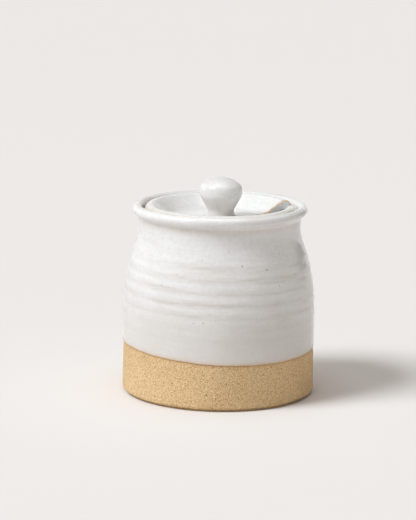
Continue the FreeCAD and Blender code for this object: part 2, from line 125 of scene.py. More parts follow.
class PotSizes(bpy.types.PropertyGroup):
    """The pot's own sizes."""
    foot_radius: length("Foot radius", "Widest radius of the bare foot", POT_BOX[1].x)
    rim_height: length("Rim height", "Height of the rolled rim's top", POT_BOX[1].z)
    foot_bevel: length("Foot bevel", "Radius of the foot's lower edge", 1.5 * MM)
    foot_lift: length("Foot lift", "Height of the trimmed step under the foot", 1.2 * MM)
    foot_step: length("Foot step", "Width of the trimmed step under the foot", 2.6 * MM)
    band_top_radius: length("Band top radius", "Clay radius under the glaze line", 51.6 * MM)
    belly_radius: length("Belly radius", "Radius of the glazed straight wall", 51.9 * MM)
    shoulder_radius: length("Shoulder curve", "Radius of the long inward curve", 92 * MM)
    neck_inset: length("Neck inset", "How far the neck stands in from the belly", 8.15 * MM)
    neck_curve: length("Neck curve", "Radius of the hollow curve at the neck", 27 * MM)
    neck_drop: length("Neck drop", "Neck's narrowest place below the rim", 11.2 * MM)
    under_rim: length("Under-rim curve", "Radius of the small hollow under the rim", 3 * MM)
    rim_roll: length("Rim roll", "Radius of the rolled rim", 2.7 * MM)
    rim_overhang: length("Rim overhang", "How far the rim stands out past the neck", 3.3 * MM)
    wall: length("Wall", "Thickness of the wall", 5 * MM)
    floor: length("Floor", "Thickness of the floor", 6.5 * MM)
    floor_corner: length("Floor corner", "Radius inside at the foot of the wall", 8 * MM)
    gallery_width: length("Gallery width", "Width of the ledge that holds the lid", 4 * MM)
    gallery_depth: length("Gallery depth", "Depth of that ledge below the rim", 5.5 * MM)
    gallery_lip: length("Gallery lip", "Radius of the ledge's inner edge", 0.8 * MM)
    ring_pitch: length("Ring pitch", "Rise of the throwing rings in one turn", 6.35 * MM)
    ring_depth: length("Ring depth", "Depth of the throwing rings", 0.23 * MM)
    ring_width: length("Ring width", "Half width of one ring's hollow", 1.5 * MM)
    ring_height: length("Ring height", "Height of one ring's hollow at the front", 68.3 * MM)
    unevenness: length("Unevenness", "Hand-thrown unevenness of the wall", 0.25 * MM)


class LidSizes(bpy.types.PropertyGroup):
    """The lid's own sizes."""
    seat_height: length("Seat height", "Height of the ledge the lid rests on", 96.7 * MM)
    shift: length("Shift", "How far the lid lies to the right of the pot's axis", 0.35 * MM)
    radius: length("Lid radius", "Outer radius of the lid", 41.05 * MM)
    plug_radius: length("Plug radius", "Radius of the part that hangs in the throat", 36.15 * MM)
    crest_radius: length("Crest radius", "Roundness of the lid's raised edge", 3.2 * MM)
    crest_height: length("Crest height", "Height of that edge over the seat", 5.5 * MM)
    dish_depth: length("Dish depth", "Depth of the dish below the crest", 7.4 * MM)
    dish_slope: angle("Dish slope", "Slope of the dish's side", math.radians(38))
    dish_corner: length("Dish corner", "Radius at the foot of the dish's side", 6 * MM)
    wall: length("Lid wall", "Thickness of the lid under its dish", 4.5 * MM)
    under_corner: length("Under corner", "Radius under the lid", 10.5 * MM)
    knob_height: length("Knob height", "Knob's height over the dish", 22.2 * MM)
    knob_radius: length("Knob radius", "Widest radius of the knob", 11.5 * MM)
    knob_edge: length("Knob edge", "Roundness of the knob's widest part", 4.5 * MM)
    knob_side: length("Knob side", "Straight height at the knob's widest part", 2 * MM)
    knob_rise: length("Knob rise", "Height of the knob's dome", 7 * MM)
    knob_neck: length("Knob neck", "Radius of the knob's neck", 7.1 * MM)
    knob_foot: length("Knob foot", "Roundness where the knob meets the dish", 3.5 * MM)
    notch_width: length("Notch width", "Width of the notch for a dipper's handle", 16 * MM)
    notch_depth: length("Notch depth", "Depth of the notch from the lid's edge", 23 * MM)
    notch_turn: angle("Notch direction", "Direction of the notch from +X", math.radians(10))
    grain: length("Remesh size", "Face size of the lid's mesh", 0.42 * MM)


class GlazeLook(bpy.types.PropertyGroup):
    """The white glaze and where its lower edge runs."""
    thickness: length("Coat thickness", "Thickness of the coat that is modelled", 1 * MM)
    line_height: length("Glaze line", "Mean height of the glaze's lower edge", 26.15 * MM)
    line_tilt: length("Line tilt", "How much the line tilts", 1.05 * MM)
    line_high_side: angle("High side", "Azimuth at which the line is highest",
                          math.radians(-108))
    line_sag: length("Line sag", "How much the line sags twice round the pot", 0.8 * MM)
    line_low_side: angle("Low side", "Azimuth at which the line sags", math.radians(19))
    line_ripple: length("Line ripple", "Small waves of the line", 0.25 * MM)
    halo: length("Halo", "Height of the warm edge over the line", 0.9 * MM)
    white: colour("White", "Colour of most of the glaze", (0.775, 0.764, 0.764))
    # Also painted light: whitens the pot's upper wall and, with the glaze that gathers there, the
    # lid's dish.
    thick_and_lit: colour("Thick white", "Colour where the glaze pooled, as in the lid's dish",
                  (0.80, 0.795, 0.79))
    cool: colour("Cool white", "Colour of the glaze's soft darker patches",
                 (0.715, 0.705, 0.70))
    # Also painted shade: low on the pot, on the knob's lower half and on the throwing rings.
    streak_and_shade: colour("Streak", "Colour of faint streaks round the pot", (0.60, 0.55, 0.505))
    # Also painted shade under the rim.
    thin_and_shade: colour("Thin", "Colour where the glaze is thin", (0.55, 0.32, 0.115))
    speck: colour("Speck", "Colour of the iron specks", (0.12, 0.09, 0.065))


class ClayLook(bpy.types.PropertyGroup):
    """The bare fired clay."""
    light: colour("Light clay", "Light grains of the clay", (0.84, 0.62, 0.355))
    dark: colour("Dark clay", "Dark grains of the clay", (0.44, 0.262, 0.108))
    speck: colour("Clay speck", "Colour of the iron specks", (0.14, 0.07, 0.028))
    edge: colour("Clay edge", "Colour beside the glaze's lower edge", (0.42, 0.21, 0.075))
    edge_height: length("Edge height", "Height of that darker edge", 0.45 * MM)


class StageLook(bpy.types.PropertyGroup):
    """The floor, the camera and the lights."""
    floor_colour: colour("Floor", "Colour of the pale floor", (0.745, 0.708, 0.692))
    sky_colour: colour("Sky", "Colour of the light all round", (1.0, 0.98, 0.935))
    walls: bpy.props.FloatProperty(
        name="Walls", description="Brightness of the room's pale walls", default=0.8)
    upper: bpy.props.FloatProperty(
        name="Upper room", description="Brightness of the room above its walls", default=0.15)
    overhead: bpy.props.FloatProperty(
        name="Overhead", description="Brightness of the soft light overhead", default=2.55)
    gap_side: angle("Gap direction", "Azimuth of the dark gap between the walls",
                    math.radians(137))
    key_colour: colour("Key colour", "Colour of the key light", (0.91, 0.965, 1.0))
    key_power: bpy.props.FloatProperty(
        name="Key power", description="Strength of the key light", default=2.7)
    key_width: angle("Key width", "Angular width of the key light", math.radians(22))
    key_side: angle("Key direction", "Azimuth the key light comes from", math.radians(-65))
    key_rise: angle("Key height", "Elevation the key light comes from", math.radians(50))
    near_power: bpy.props.FloatProperty(
        name="Near power", description="Strength of the small near light", default=0.5)
    near_size: length("Near size", "Side of the small near light", 0.5)
    near_colour: colour("Near colour", "Colour of the small near light", (0.94, 0.975, 1))
    near_place: bpy.props.FloatVectorProperty(
        name="Near place", description="Place of the small near light", unit="LENGTH",
        default=(-0.75, -0.43, 0.8))
    near_aim: bpy.props.FloatVectorProperty(
        name="Near aim", description="Point that the small near light looks at",
        unit="LENGTH", default=(0, 0, 0.05))
    floor_radius: length("Floor radius", "Radius of the round floor", 6)
    floor_middle: length("Floor middle", "Radius of the floor's inner face", 2)
    camera_away: length("Camera distance", "Level distance of the camera", 1246 * MM)
    camera_up: length("Camera height", "Height of the camera", 320.2 * MM)
    lens: bpy.props.FloatProperty(name="Lens", description="Focal length in millimetres",
                                  default=162.7)
    pitch: angle("Pitch", "Tilt of the camera below level", math.radians(11.3))
    yaw: angle("Yaw", "Turn of the camera to the left", math.radians(0.283))
    roll: angle("Roll", "Roll of the camera", math.radians(0.73))


def settings(name):
    """Return one group of sizes or colours of the current scene."""
    return getattr(bpy.context.scene, name)


# ---------------------------------------------------------------- drawing and turning

def smooth(low, high, value):
    """Return 0 below low, 1 above high and a smooth step between them."""
    t = min(1.0, max(0.0, (value - low) / (high - low)))
    return t * t * (3 - 2 * t)


def azimuth(x, y):
    """Return the direction of a point from the pot's front, growing to the right."""
    return math.atan2(x, -y)


def heading(start, end):
    """Return the direction from one profile point to another."""
    return math.atan2(end[1] - start[1], end[0] - start[0])


def on_circle(centre, radius, turn):
    """Return the point of a circle in this direction from its centre."""
    return (centre[0] + radius * math.cos(turn), centre[1] + radius * math.sin(turn))


def arc(centre, radius, start, end, step):
    """Return points along an arc, both ends among them, about a step apart."""
    count = max(2, math.ceil(abs(end - start) * radius / step))
    return [on_circle(centre, radius, start + (end - start) * k / count)
            for k in range(count + 1)]


def straight(start, end, step):
    """Return points along a straight run, both ends among them, about a step apart."""
    run = math.dist(start, end)
    count = max(1, math.ceil(run / step))
    return [(start[0] + (end[0] - start[0]) * k / count,
             start[1] + (end[1] - start[1]) * k / count) for k in range(count + 1)]


def crossing(centre_1, radius_1, centre_2, radius_2, side):
    """Return where two circles cross: side 1 is left of the way from 1 to 2, -1 right."""
    run = math.dist(centre_1, centre_2)
    along = (radius_1 ** 2 - radius_2 ** 2 + run ** 2) / (2 * run)
    across = side * math.sqrt(radius_1 ** 2 - along ** 2)
    ux, uy = (centre_2[0] - centre_1[0]) / run, (centre_2[1] - centre_1[1]) / run
    return (centre_1[0] + along * ux - across * uy, centre_1[1] + along * uy + across * ux)


def deselect():
    """Leave nothing selected."""
    bpy.ops.object.select_all(action="DESELECT")


def select_only(piece):
    """Make a piece the only one selected, and the active one."""
    deselect()
    piece.select_set(True)
    bpy.context.view_layer.objects.active = piece


def turned(name, points, steps):
    """Draw a profile by extruding one vertex from point to point, and spin it closed."""
    deselect()
    bpy.ops.mesh.primitive_plane_add(size=2 * MM, location=(0, 0, 0))
    piece = bpy.context.object
    piece.name = piece.data.name = name
    bpy.ops.object.mode_set(mode="EDIT")
    bpy.ops.mesh.select_all(action="SELECT")
    bpy.ops.mesh.merge(type="CENTER")
    at = points[0]
    bpy.ops.transform.translate(value=(at[0], 0, at[1]))
    for point in points[1:]:
        if math.dist(point, at) < MERGE:
            continue
        bpy.ops.mesh.extrude_vertices_move(
            TRANSFORM_OT_translate={"value": (point[0] - at[0], 0, point[1] - at[1])})
        at = point
    bpy.ops.mesh.select_all(action="SELECT")
    bpy.ops.mesh.spin(steps=steps, angle=TURN, center=(0, 0, 0), axis=(0, 0, 1))
    bpy.ops.mesh.select_all(action="SELECT")
    bpy.ops.mesh.remove_doubles(threshold=MERGE)
    bpy.ops.mesh.normals_make_consistent(inside=False)
    bpy.ops.object.mode_set(mode="OBJECT")
    return piece


def weigh(piece, name, rule):
    """Give a vertex group the weight that a rule finds for each vertex."""
    group = piece.vertex_groups.new(name=name)
    for vertex in piece.data.vertices:
        weight = rule(vertex.co, vertex.normal)
        if weight > 0:
            group.add([vertex.index], min(1.0, weight), "REPLACE")


def push(piece, group, strength, direction="NORMAL", texture=None, middle=0.0):
    """Displace a vertex group, and apply it."""
    bpy.context.view_layer.objects.active = piece
    modifier = piece.modifiers.new(group, "DISPLACE")
    modifier.direction = direction
    modifier.strength = strength
    modifier.mid_level = middle
    modifier.vertex_group = group
    if texture:
        modifier.texture = texture
        modifier.texture_coords = "LOCAL"
    bpy.ops.object.modifier_apply(modifier=modifier.name)


def clouds(name, size):
    """Return a soft clouds texture for slight unevenness."""
    texture = bpy.data.textures.new(name, "CLOUDS")
    texture.noise_scale = size
    texture.noise_depth = 1
    return texture


def mark(piece, name, rule):
    """Store a number on each vertex for a material to read."""
    layer = piece.data.attributes.new(name, "FLOAT", "POINT")
    values = [min(1.0, max(0.0, rule(v.co, v.normal))) for v in piece.data.vertices]
    layer.data.foreach_set("value", values)


def finish_piece(piece, material, node):
    """Shade a piece smooth, give it its finish, and let it stand for a CAD node."""
    select_only(piece)
    bpy.ops.object.shade_smooth()
    piece.vertex_groups.clear()
    piece.data.materials.clear()
    piece.data.materials.append(material)
    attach(piece, "root")
    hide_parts(node)


# ---------------------------------------------------------------- the pot's profile

class PotProfile:
    """The pot's profile. Every route can be drawn inset into the clay by a distance."""

    def __init__(self, sizes):
        s = sizes
        self.s = s
        self.neck_height = s.rim_height - s.neck_drop
        neck_radius = s.belly_radius - s.neck_inset
        self.neck_centre = (neck_radius + s.neck_curve, self.neck_height)
        reach = s.shoulder_radius + s.neck_curve
        rise = math.sqrt(2 * reach * s.neck_inset - s.neck_inset ** 2)
        self.shoulder_centre = (s.belly_radius - s.shoulder_radius, self.neck_height - rise)
        self.rim_centre = (neck_radius + s.rim_overhang - s.rim_roll, s.rim_height - s.rim_roll)
        self.under_centre = crossing(
            self.rim_centre, s.rim_roll + s.under_rim,
            self.neck_centre, s.neck_curve - s.under_rim, -1)
        self.shoulder_turn = heading(self.shoulder_centre, self.neck_centre)
        self.mouth = self.rim_centre[0] - s.rim_roll
        self.throat = self.mouth - s.gallery_width
        self.seat = s.rim_height - s.gallery_depth
        to_throat = self.throat - self.shoulder_centre[0]
        inner = s.shoulder_radius - s.wall
        self.throat_curve = ((to_throat ** 2 + rise ** 2 - inner ** 2)
                             / (2 * (inner - to_throat)))
        self.throat_centre = (self.throat + self.throat_curve, self.neck_height)

    def wall_radius(self, height):
        """Return the radius of the smooth outer wall at this height."""
        s = self.s
        if height <= self.shoulder_centre[1]:
            return s.belly_radius
        turn = math.asin((height - self.shoulder_centre[1]) / s.shoulder_radius)
        if turn <= self.shoulder_turn:
            return self.shoulder_centre[0] + s.shoulder_radius * math.cos(turn)
        fall = min(s.neck_curve, abs(self.neck_height - height))
        return self.neck_centre[0] - math.sqrt(s.neck_curve ** 2 - fall ** 2)

    def on_wall(self, degrees, height):
        """Return the point of the wall at an azimuth in degrees and a height in mm."""
        turn, reach = math.radians(degrees), self.wall_radius(height * MM)
        return (reach * math.sin(turn), -reach * math.cos(turn), height * MM)

    def strewn_specks(self):
        """Return the place and radius of each larger iron speck, strewn over the wall."""
        draw = random.Random(SPECK_SEED)
        return [(self.on_wall(draw.uniform(-180, 180), draw.uniform(*SPECK_HEIGHTS)),
                 draw.uniform(*SPECK_RADII) * MM) for _ in range(SPECK_COUNT)]

    def outside(self, start, inset, step):
        """Return the route up the wall from a height, round the rim to its top."""
        s = self.s
        foot = (s.belly_radius - inset, start)
        shoulder_foot = (s.belly_radius - inset, self.shoulder_centre[1])
        under_turn = heading(self.neck_centre, self.under_centre)
        rim_turn = heading(self.under_centre, self.rim_centre)
        return (straight(foot, shoulder_foot, step)
                + arc(self.shoulder_centre, s.shoulder_radius - inset, 0,
                      self.shoulder_turn, step)
                + arc(self.neck_centre, s.neck_curve + inset,
                      self.shoulder_turn + math.pi, under_turn % TURN, step)
                + arc(self.under_centre, s.under_rim + inset,
                      under_turn % TURN, rim_turn % TURN, step / 2)
                + arc(self.rim_centre, s.rim_roll - inset,
                      (rim_turn + math.pi) % TURN - TURN, math.pi / 2, step / 2))

    def inside(self, inset, step):
        """Return the route from the rim's top down the mouth to the middle of the floor."""
        s = self.s
        lip = max(LEAST_RADIUS, s.gallery_lip - inset)
        lip_centre = (self.throat + s.gallery_lip, self.seat - s.gallery_lip)
        turn = heading(self.shoulder_centre, self.throat_centre)
        corner = (s.belly_radius - s.wall - s.floor_corner, s.floor + s.floor_corner)
        nook = (self.mouth - GALLERY_CORNER, self.seat + GALLERY_CORNER)
        return (arc(self.rim_centre, s.rim_roll - inset, math.pi / 2, math.pi, step / 2)
                + straight((self.mouth + inset, self.rim_centre[1]),
                           (self.mouth + inset, nook[1]), step)
                + arc(nook, GALLERY_CORNER + inset, 0, -math.pi / 2, step / 2)
                + straight((nook[0], self.seat - inset),
                           (lip_centre[0], lip_centre[1] + lip), step)
                + arc(lip_centre, lip, math.pi / 2, math.pi, step / 4)
                + straight((lip_centre[0] - lip, lip_centre[1]),
                           (self.throat + inset, self.neck_height), step)
                + arc(self.throat_centre, self.throat_curve - inset, math.pi,
                      math.pi + turn, step)
                + arc(self.shoulder_centre, s.shoulder_radius - s.wall + inset, turn, 0,
                      2 * step)
                + straight((s.belly_radius - s.wall + inset, self.shoulder_centre[1]),
                           (s.belly_radius - s.wall + inset, corner[1]), 2 * step)
                + arc(corner, s.floor_corner + inset, 0, -math.pi / 2, step)
                + straight((corner[0], s.floor - inset), (0, s.floor - inset), 4 * step))


def glaze_line(look, turn):
    """Return the height of the glaze's lower edge at this azimuth."""
    ripple = noise.noise(Vector((2.2 * math.cos(turn), 2.2 * math.sin(turn), 3.7)))
    ripple += 0.5 * noise.noise(Vector((7 * math.cos(turn), 7 * math.sin(turn), 9.1)))
    return (look.line_height + look.line_tilt * math.cos(turn - look.line_high_side)
            - look.line_sag * math.cos(2 * (turn - look.line_low_side))
            + look.line_ripple * ripple)


def line_reach(look):
    """Return the most that the glaze's lower edge leaves its mean height."""
    return look.line_tilt + look.line_sag + RIPPLE_REACH * look.line_ripple


def line_top(look):
    """Return the height that the glaze's lower edge never rises above."""
    return look.line_height + line_reach(look)


# ---------------------------------------------------------------- materials

class Nodes:
    """A small hand for wiring a material."""

    def __init__(self, name):
        self.material = bpy.data.materials.new(name)
        self.material.use_nodes = True
        self.tree = self.material.node_tree
        self.shader = self.tree.nodes["Principled BSDF"]
        coordinates = self.tree.nodes.new("ShaderNodeTexCoord")
        self.place = coordinates.outputs["Object"]

    def link(self, output, socket):
        self.tree.links.new(output, socket)

    def feed(self, source, socket):
        """Link an output to a socket, or set the socket to a number or a colour."""
        if isinstance(source, bpy.types.NodeSocket):
            self.link(source, socket)
        elif isinstance(source, tuple):
            socket.default_value = (*source, 1)
        else:
            socket.default_value = source

    def noise(self, scale, detail=2, roughness=0.5, place=None):
        """Return a noise pattern's output."""
        node = self.tree.nodes.new("ShaderNodeTexNoise")
        node.inputs["Scale"].default_value = scale
        node.inputs["Detail"].default_value = detail
        node.inputs["Roughness"].default_value = roughness
        self.link(place or self.place, node.inputs["Vector"])
        return node.outputs["Fac"]

    def stretched(self, level, upright):
        """Return object coordinates scaled less across than up, for lines round the pot."""
        node = self.tree.nodes.new("ShaderNodeMapping")
        node.inputs["Scale"].default_value = (level, level, upright)
        self.link(self.place, node.inputs["Vector"])
        return node.outputs["Vector"]

    def steps(self, source, *stops):
        """Return a ramp of (position, value) stops over a pattern."""
        node = self.tree.nodes.new("ShaderNodeValToRGB")
        ramp = node.color_ramp
        while len(ramp.elements) < len(stops):
            ramp.elements.new(0.5)
        for element, (position, value) in zip(ramp.elements, stops):
            element.position = position
            element.color = (value, value, value, 1)
        self.link(source, node.inputs["Fac"])
        return node.outputs["Color"]

    def mix(self, share, first, second):
        """Return a mix of two colours, each a socket or a plain colour."""
        node = self.tree.nodes.new("ShaderNodeMix")
        node.data_type = "RGBA"
        self.feed(share, node.inputs[0])
        self.feed(first, node.inputs[MIX_FIRST])
        self.feed(second, node.inputs[MIX_SECOND])
        return node.outputs[MIX_RESULT]

    def math(self, operation, first, second):
        """Return arithmetic on two sockets or numbers."""
        node = self.tree.nodes.new("ShaderNodeMath")
        node.operation = operation
        self.feed(first, node.inputs[0])
        self.feed(second, node.inputs[1])
        return node.outputs[0]

    def specks(self, scale, size, share):
        """Return small round dots in a share of the cells of a pattern."""
        cells = self.tree.nodes.new("ShaderNodeTexVoronoi")
        cells.inputs["Scale"].default_value = scale
        self.link(self.place, cells.inputs["Vector"])
        split = self.tree.nodes.new("ShaderNodeSeparateColor")
        self.link(cells.outputs["Color"], split.inputs["Color"])
        chosen = self.math("LESS_THAN", split.outputs[0], share)
        near = self.steps(cells.outputs["Distance"], (size * 0.5, 1.0), (size, 0.0))
        strength = self.math("MULTIPLY", split.outputs[1], 0.6)
        strength = self.math("ADD", strength, 0.4)
        return self.math("MULTIPLY", self.math("MULTIPLY", near, chosen), strength)

    def dot(self, place, radius):
        """Return one soft round dot at a place."""
        node = self.tree.nodes.new("ShaderNodeVectorMath")
        node.operation = "DISTANCE"
        self.link(self.place, node.inputs[0])
        node.inputs[1].default_value = place
        share = self.math("DIVIDE", node.outputs["Value"], 2 * radius)
        return self.steps(share, (0.25, 1.0), (0.5, 0.0))

    def bump(self, source, strength, distance, under=None):
        """Return a normal that a pattern has roughened."""
        node = self.tree.nodes.new("ShaderNodeBump")
        node.inputs["Strength"].default_value = strength
        node.inputs["Distance"].default_value = distance
        self.link(source, node.inputs["Height"])
        if under:
            self.link(under, node.inputs["Normal"])
        return node.outputs["Normal"]

    def attribute(self, name):
        """Return a number that the mesh keeps on its vertices."""
        node = self.tree.nodes.new("ShaderNodeAttribute")
        node.attribute_name = name
        return node.outputs["Fac"]


def white_glaze(look, profile):
    """A glossy white glaze, uneven in tone, with iron specks, warm edges where it thins, and
    painted light and shade.
    """
    existing = bpy.data.materials.get("white_glaze")
    if existing:
        return existing
    n = Nodes("white_glaze")
    lines = n.stretched(60, 620)
    tone = n.steps(n.noise(45, detail=3), (0.35, 0.0), (0.7, 1.0))
    base = n.mix(tone, tuple(look.white), tuple(look.cool))
    # Whiter where glaze gathers in the lid's dish, and painted light high on the pot's wall.
    base = n.mix(n.attribute("pooled_and_lit"), base, tuple(look.thick_and_lit))
    # Painted shade: darker low on the pot and on the knob's lower half.
    base = n.mix(n.math("MULTIPLY", n.attribute("low"), 0.5), base, tuple(look.streak_and_shade))
    mottle = n.steps(n.noise(520, detail=3, roughness=0.6), (0.4, 0.0), (0.7, 1.0))
    base = n.mix(n.math("MULTIPLY", mottle, 0.3), base, tuple(look.streak_and_shade))
    streak_and_shade = n.steps(n.noise(1, detail=4, roughness=0.6, place=lines), (0.42, 0.0), (0.72, 1.0))
    # Ring tone: partly the glaze's own colour, partly painted shade on each ring's downward flank.
    rings = n.math("MULTIPLY", n.attribute("ring_tone_and_shade"), n.steps(streak_and_shade, (0, 0.4), (1, 1.0)))
    shade = n.math("ADD", rings, n.math("MULTIPLY", streak_and_shade, 0.22))
    base = n.mix(shade, base, tuple(look.streak_and_shade))
    # Warm where the glaze thins, and painted shade under the rim.
    thin_and_shade = n.attribute("thin_glaze_and_shade")
    wander = n.steps(n.noise(420, detail=3), (0.3, 0.6), (0.65, 1.0))
    base = n.mix(n.math("MULTIPLY", thin_and_shade, wander), base, tuple(look.thin_and_shade))
    fine_dots = n.specks(260, size=0.085, share=0.25)
    dots = n.math("MAXIMUM", fine_dots, n.specks(95, size=0.05, share=0.35))
    for place, radius in profile.strewn_specks():
        dots = n.math("MAXIMUM", dots, n.dot(place, radius))
    base = n.mix(dots, base, tuple(look.speck))
    n.link(base, n.shader.inputs["Base Color"])
    n.shader.inputs["Roughness"].default_value = 0.1
    n.shader.inputs["IOR"].default_value = 1.5
    surface = n.bump(n.noise(70), 0.12, 0.4 * MM)
    across = n.noise(1, detail=3, roughness=0.6, place=lines)
    surface = n.bump(across, 0.18, 0.12 * MM, surface)
    n.link(n.bump(n.noise(900), 0.12, 0.05 * MM, surface), n.shader.inputs["Normal"])
    return n.material


def bare_clay(look):
    """Bare tan stoneware with a fine sandy grain and small iron specks."""
    existing = bpy.data.materials.get("bare_clay")
    if existing:
        return existing
    n = Nodes("bare_clay")
    grain = n.steps(n.noise(2400, roughness=0.6), (0.44, 0.0), (0.56, 1.0))
    patch = n.steps(n.noise(60, detail=3), (0.3, 0.0), (0.7, 1.0))
    share = n.math("ADD", n.math("MULTIPLY", grain, 0.85), n.math("MULTIPLY", patch, 0.15))
    base = n.mix(share, tuple(look.light), tuple(look.dark))
    fine_dots = n.specks(700, size=0.3, share=0.24)
    dots = n.math("MAXIMUM", fine_dots, n.specks(330, size=0.2, share=0.3))
    base = n.mix(n.math("MULTIPLY", dots, 0.8), base, tuple(look.speck))
    base = n.mix(n.attribute("clay_edge"), base, tuple(look.edge))
    n.link(base, n.shader.inputs["Base Color"])
    n.shader.inputs["Roughness"].default_value = 0.8
    rough = n.noise(1900, detail=5, roughness=0.7)
    n.link(n.bump(rough, 0.8, 0.2 * MM), n.shader.inputs["Normal"])
    return n.material


# ---------------------------------------------------------------- operators

class HONEYPOT_OT_clay(bpy.types.Operator):
    """Turn the pot's clay body, bare at its foot band"""
    bl_idname = "honeypot.clay"
    bl_label = "Pot clay"

    def execute(self, context):
        sizes, look = settings("pot_sizes"), settings("glaze_look")
        profile = PotProfile(sizes)
        buried = 0.7 * look.thickness
        cover = line_top(look) + 2.5 * MM
        bevel = sizes.foot_bevel
        lift, step = sizes.foot_lift, sizes.foot_radius - sizes.foot_step
        bevel_centre = (sizes.foot_radius - bevel, lift + bevel)
        points = (straight((0, 0), (step, 0), 6 * MM)
                  + straight((step, 0), (step, lift), 0.3 * MM)
                  + straight((step, lift), (bevel_centre[0], lift), 0.5 * MM)
                  + arc(bevel_centre, bevel, -math.pi / 2, 0, 0.3 * MM)
                  + straight((sizes.foot_radius, lift + bevel),
                             (sizes.band_top_radius, look.line_height), 0.5 * MM)
                  + straight((sizes.band_top_radius, look.line_height),
                             (sizes.band_top_radius, cover), 0.5 * MM)
                  + profile.outside(cover + 0.5 * MM, buried, 2.4 * MM)
                  + profile.inside(buried, 2.4 * MM))
        piece = turned("pot_clay", points, CLAY_STEPS)
        weigh(piece, "uneven", lambda co, normal: float(co.z > 2 * MM and co.xy.length > 49 * MM))
        push(piece, "uneven", 0.12 * MM, texture=clouds("clay_swell", 22 * MM), middle=1.0)
        clay = settings("clay_look")

        def edge(co, normal):
            under = glaze_line(look, azimuth(co.x, co.y)) - co.z
            return float(co.z < cover) * math.exp(-max(0.0, under) / clay.edge_height)

        mark(piece, "clay_edge", edge)
        finish_piece(piece, bare_clay(clay), "pot")
        return {"FINISHED"}


class HONEYPOT_OT_glaze(bpy.types.Operator):
    """Lay the glaze over the pot, inside and out, with throwing rings and a wandering edge"""
    bl_idname = "honeypot.glaze"
    bl_label = "Pot glaze"

    def execute(self, context):
        sizes, look = settings("pot_sizes"), settings("glaze_look")
        profile = PotProfile(sizes)
        top = line_top(look)
        skin = profile.outside(top + 0.5 * MM, 0, 0.9 * MM)
        fine_start = straight((sizes.belly_radius, top + BEAD_RADIUS),
                              (sizes.belly_radius, top + 3 * MM), 0.3 * MM)
        skin = fine_start + [p for p in skin if p[1] > top + 3.2 * MM]
        bead_centre = (sizes.belly_radius - BEAD_RADIUS, top + BEAD_RADIUS)
        bead = arc(bead_centre, BEAD_RADIUS, 0, -math.pi / 2, 0.12 * MM)
        points = (profile.inside(0, 1.2 * MM)[::-1] + skin[::-1] + bead
                  + profile.outside(top + BEAD_RADIUS, look.thickness, 1.8 * MM)
                  + profile.inside(look.thickness, 2.4 * MM))
        piece = turned("pot_glaze", points, GLAZE_STEPS)

        drop = 2 * line_reach(look)

        def fall(co, normal):
            if co.z > top + 9 * MM or co.xy.length < sizes.belly_radius - INSIDE:
                return 0
            share = (top - glaze_line(look, azimuth(co.x, co.y))) / drop
            return share * (1 - smooth(top + 0.5 * MM, top + 9 * MM, co.z))

        weigh(piece, "line", fall)
        push(piece, "line", -drop, direction="Z")

        def on_wall(co):
            return abs(co.xy.length - profile.wall_radius(co.z)) < 0.4 * look.thickness

        def ring_share(co, raised, width):
            """Return how deep a throwing ring is here, or here a little further up."""
            if not RINGS_START[0] < co.z < RINGS_END[1] or not on_wall(co):
                return 0
            turn = azimuth(co.x, co.y)
            at = (sizes.ring_height + raised - co.z) / sizes.ring_pitch - turn / TURN
            off = (at - round(at)) * sizes.ring_pitch / width
            reach = smooth(*RINGS_START, co.z) * (0.35 + 0.65 * smooth(*RINGS_DEEPEN, co.z))
            reach *= 1 - 0.55 * smooth(*RINGS_SOFTEN, co.z)
            reach *= 1 - smooth(*RINGS_END, co.z)
            swell = noise.noise(Vector((co.x * 30, co.y * 30, co.z * 90 + 5)))
            return math.exp(-off * off) * reach * (0.85 + 0.5 * swell)

        def ring(co, normal):
            return ring_share(co, 0, sizes.ring_width)

        # Painted shade, partly real tone: the band sits above each ring's hollow, where the
        # surface faces down, and is darker towards the right.
        def ring_tone_and_shade(co, normal):
            side = 0.75 + 0.25 * math.cos(azimuth(co.x, co.y) - RINGS_SHADE_SIDE)
            return side * ring_share(co, 0.8 * sizes.ring_width, 1.25 * sizes.ring_width)

        weigh(piece, "rings", ring)
        push(piece, "rings", -sizes.ring_depth)
        weigh(piece, "uneven", lambda co, normal: float(on_wall(co)) * (
            smooth(top, top + 4 * MM, co.z) if co.z < RIM_START else 1.0))
        push(piece, "uneven", sizes.unevenness, texture=clouds("glaze_swell", 26 * MM),
             middle=0.9)

        def thin_and_shade(co, normal):
            # Painted shade: a warm brown-grey band on the neck just under the rim.
            if co.z > RIM_START and normal.z < 0:
                under_rim = (co.z - profile.under_centre[1]) / (1.5 * MM)
                return 0.22 * math.exp(-under_rim * under_rim)
            if co.xy.length < sizes.belly_radius - INSIDE or co.z > top + 8 * MM:
                return 0
            over = co.z - glaze_line(look, azimuth(co.x, co.y))
            return math.exp(-max(0.0, over) / look.halo)

        mark(piece, "thin_glaze_and_shade", thin_and_shade)
        mark(piece, "ring_tone_and_shade", ring_tone_and_shade)
        # Painted shade: the wall darkens towards the bottom.
        mark(piece, "low", lambda co, normal: 1 - smooth(34 * MM, 62 * MM, co.z))
        # Painted light: the wall is whiter towards the rim.
        mark(piece, "pooled_and_lit", lambda co, normal: 0.35 * smooth(60 * MM, 80 * MM, co.z))
        finish_piece(piece, white_glaze(look, profile), "pot")
        return {"FINISHED"}


